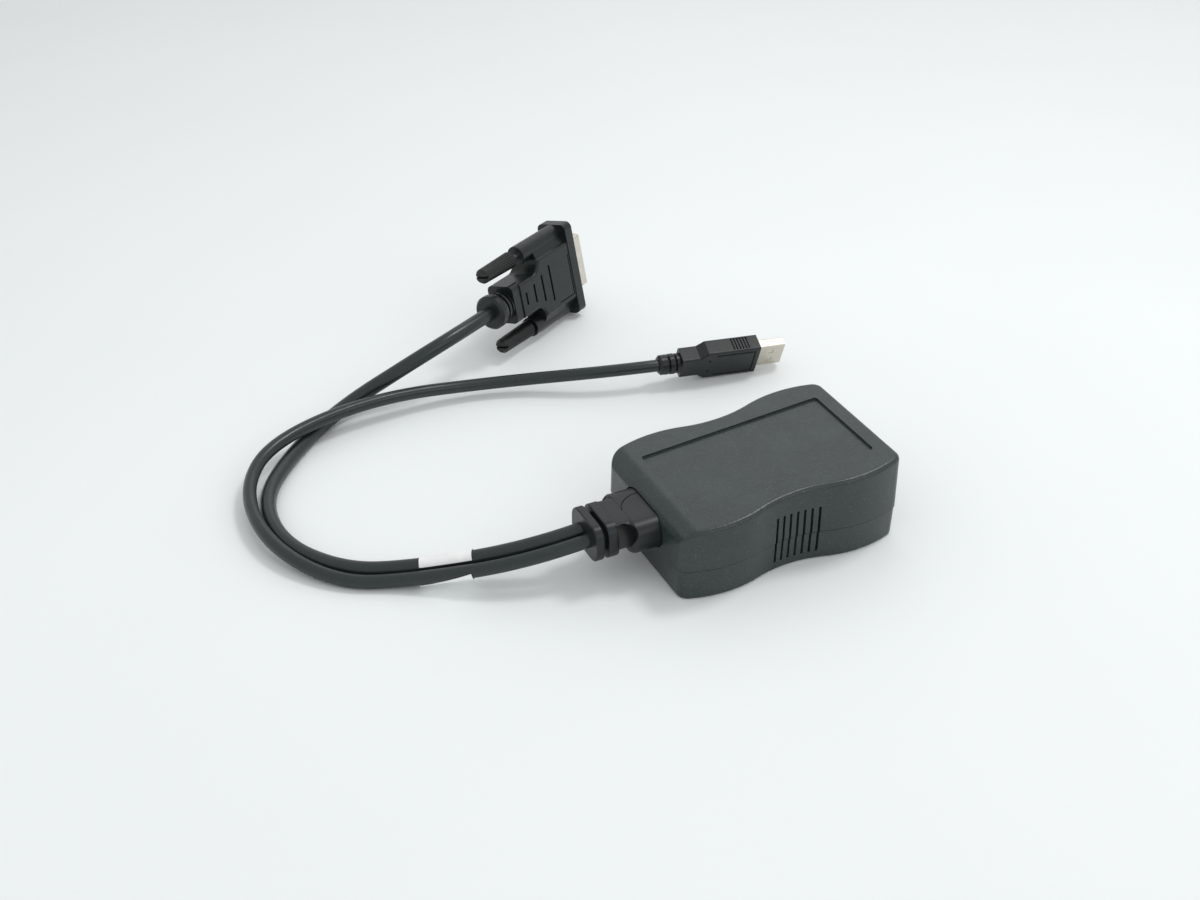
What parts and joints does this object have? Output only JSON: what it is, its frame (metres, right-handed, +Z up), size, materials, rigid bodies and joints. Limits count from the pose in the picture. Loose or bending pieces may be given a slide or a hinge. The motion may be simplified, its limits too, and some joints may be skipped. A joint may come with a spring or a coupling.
{
  "type": "kvm dongle",
  "caption": "Waisted black housing with a network socket at one end and two captive cords at the other, leading to a DVI plug with thumbscrews and a USB plug.",
  "frame": {"origin": "middle of the housing's underside", "axes": "+X along the housing towards the network socket, +Y to its left, +Z up out of the label recess"},
  "size_m": [0.2393, 0.2221, 0.0436],
  "materials": {
    "housing_plastic": "fine-grained matte",
    "boot_rubber": "satin",
    "cord_jacket": "smooth satin PVC",
    "white_vinyl": "plain white vinyl",
    "plug_plastic": "satin",
    "knob_plastic": "knurled matte",
    "screw_steel": "bright zinc plate",
    "case_screw_steel": "black zinc",
    "nickel": "nickel plate",
    "cream_plastic": "unfilled moulding",
    "black_plastic": "satin",
    "gold": "gold plate",
    "board_laminate": "green solder mask",
    "chip_plastic": "moulded",
    "jack_tin": "tinned sheet"
  },
  "bodies": {
    "dongle": {"bottom_cover": "housing_plastic", "cable_boot": "boot_rubber", "case_screw_1": "case_screw_steel", "case_screw_2": "case_screw_steel", "case_screw_3": "case_screw_steel", "case_screw_4": "case_screw_steel", "circuit_board": "board_laminate", "cord_tag": "white_vinyl", "dvi_boot": "boot_rubber", "dvi_hood": "plug_plastic", "dvi_insulator": "cream_plastic", "dvi_pins": "gold", "dvi_shell": "nickel", "jack_contacts": "gold", "jack_insert": "black_plastic", "jack_shield": "jack_tin", "line_filter": "chip_plastic", "top_cover": "housing_plastic", "usb_boot": "boot_rubber", "usb_contacts": "gold", "usb_cord": "cord_jacket", "usb_overmould": "plug_plastic", "usb_shell": "nickel", "usb_tongue": "black_plastic", "video_chip": "chip_plastic", "video_cord": "cord_jacket"},
    "upper_thumbscrew": {"upper_knob": "knob_plastic", "upper_screw": "screw_steel"},
    "lower_thumbscrew": {"lower_knob": "knob_plastic", "lower_screw": "screw_steel"}
  },
  "joints": [
    {"name": "upper_screw_turn", "type": "hinge", "parent": "dongle", "child": "upper_thumbscrew", "pos_m": [-0.00991, 0.17327, 0.03881], "axis": [0.8569, 0.514, -0.0396], "continuous": true},
    {"name": "lower_screw_turn", "type": "hinge", "parent": "dongle", "child": "lower_thumbscrew", "pos_m": [-0.00711, 0.16609, 0.00641], "axis": [0.8569, 0.514, -0.0396], "continuous": true}
  ]
}
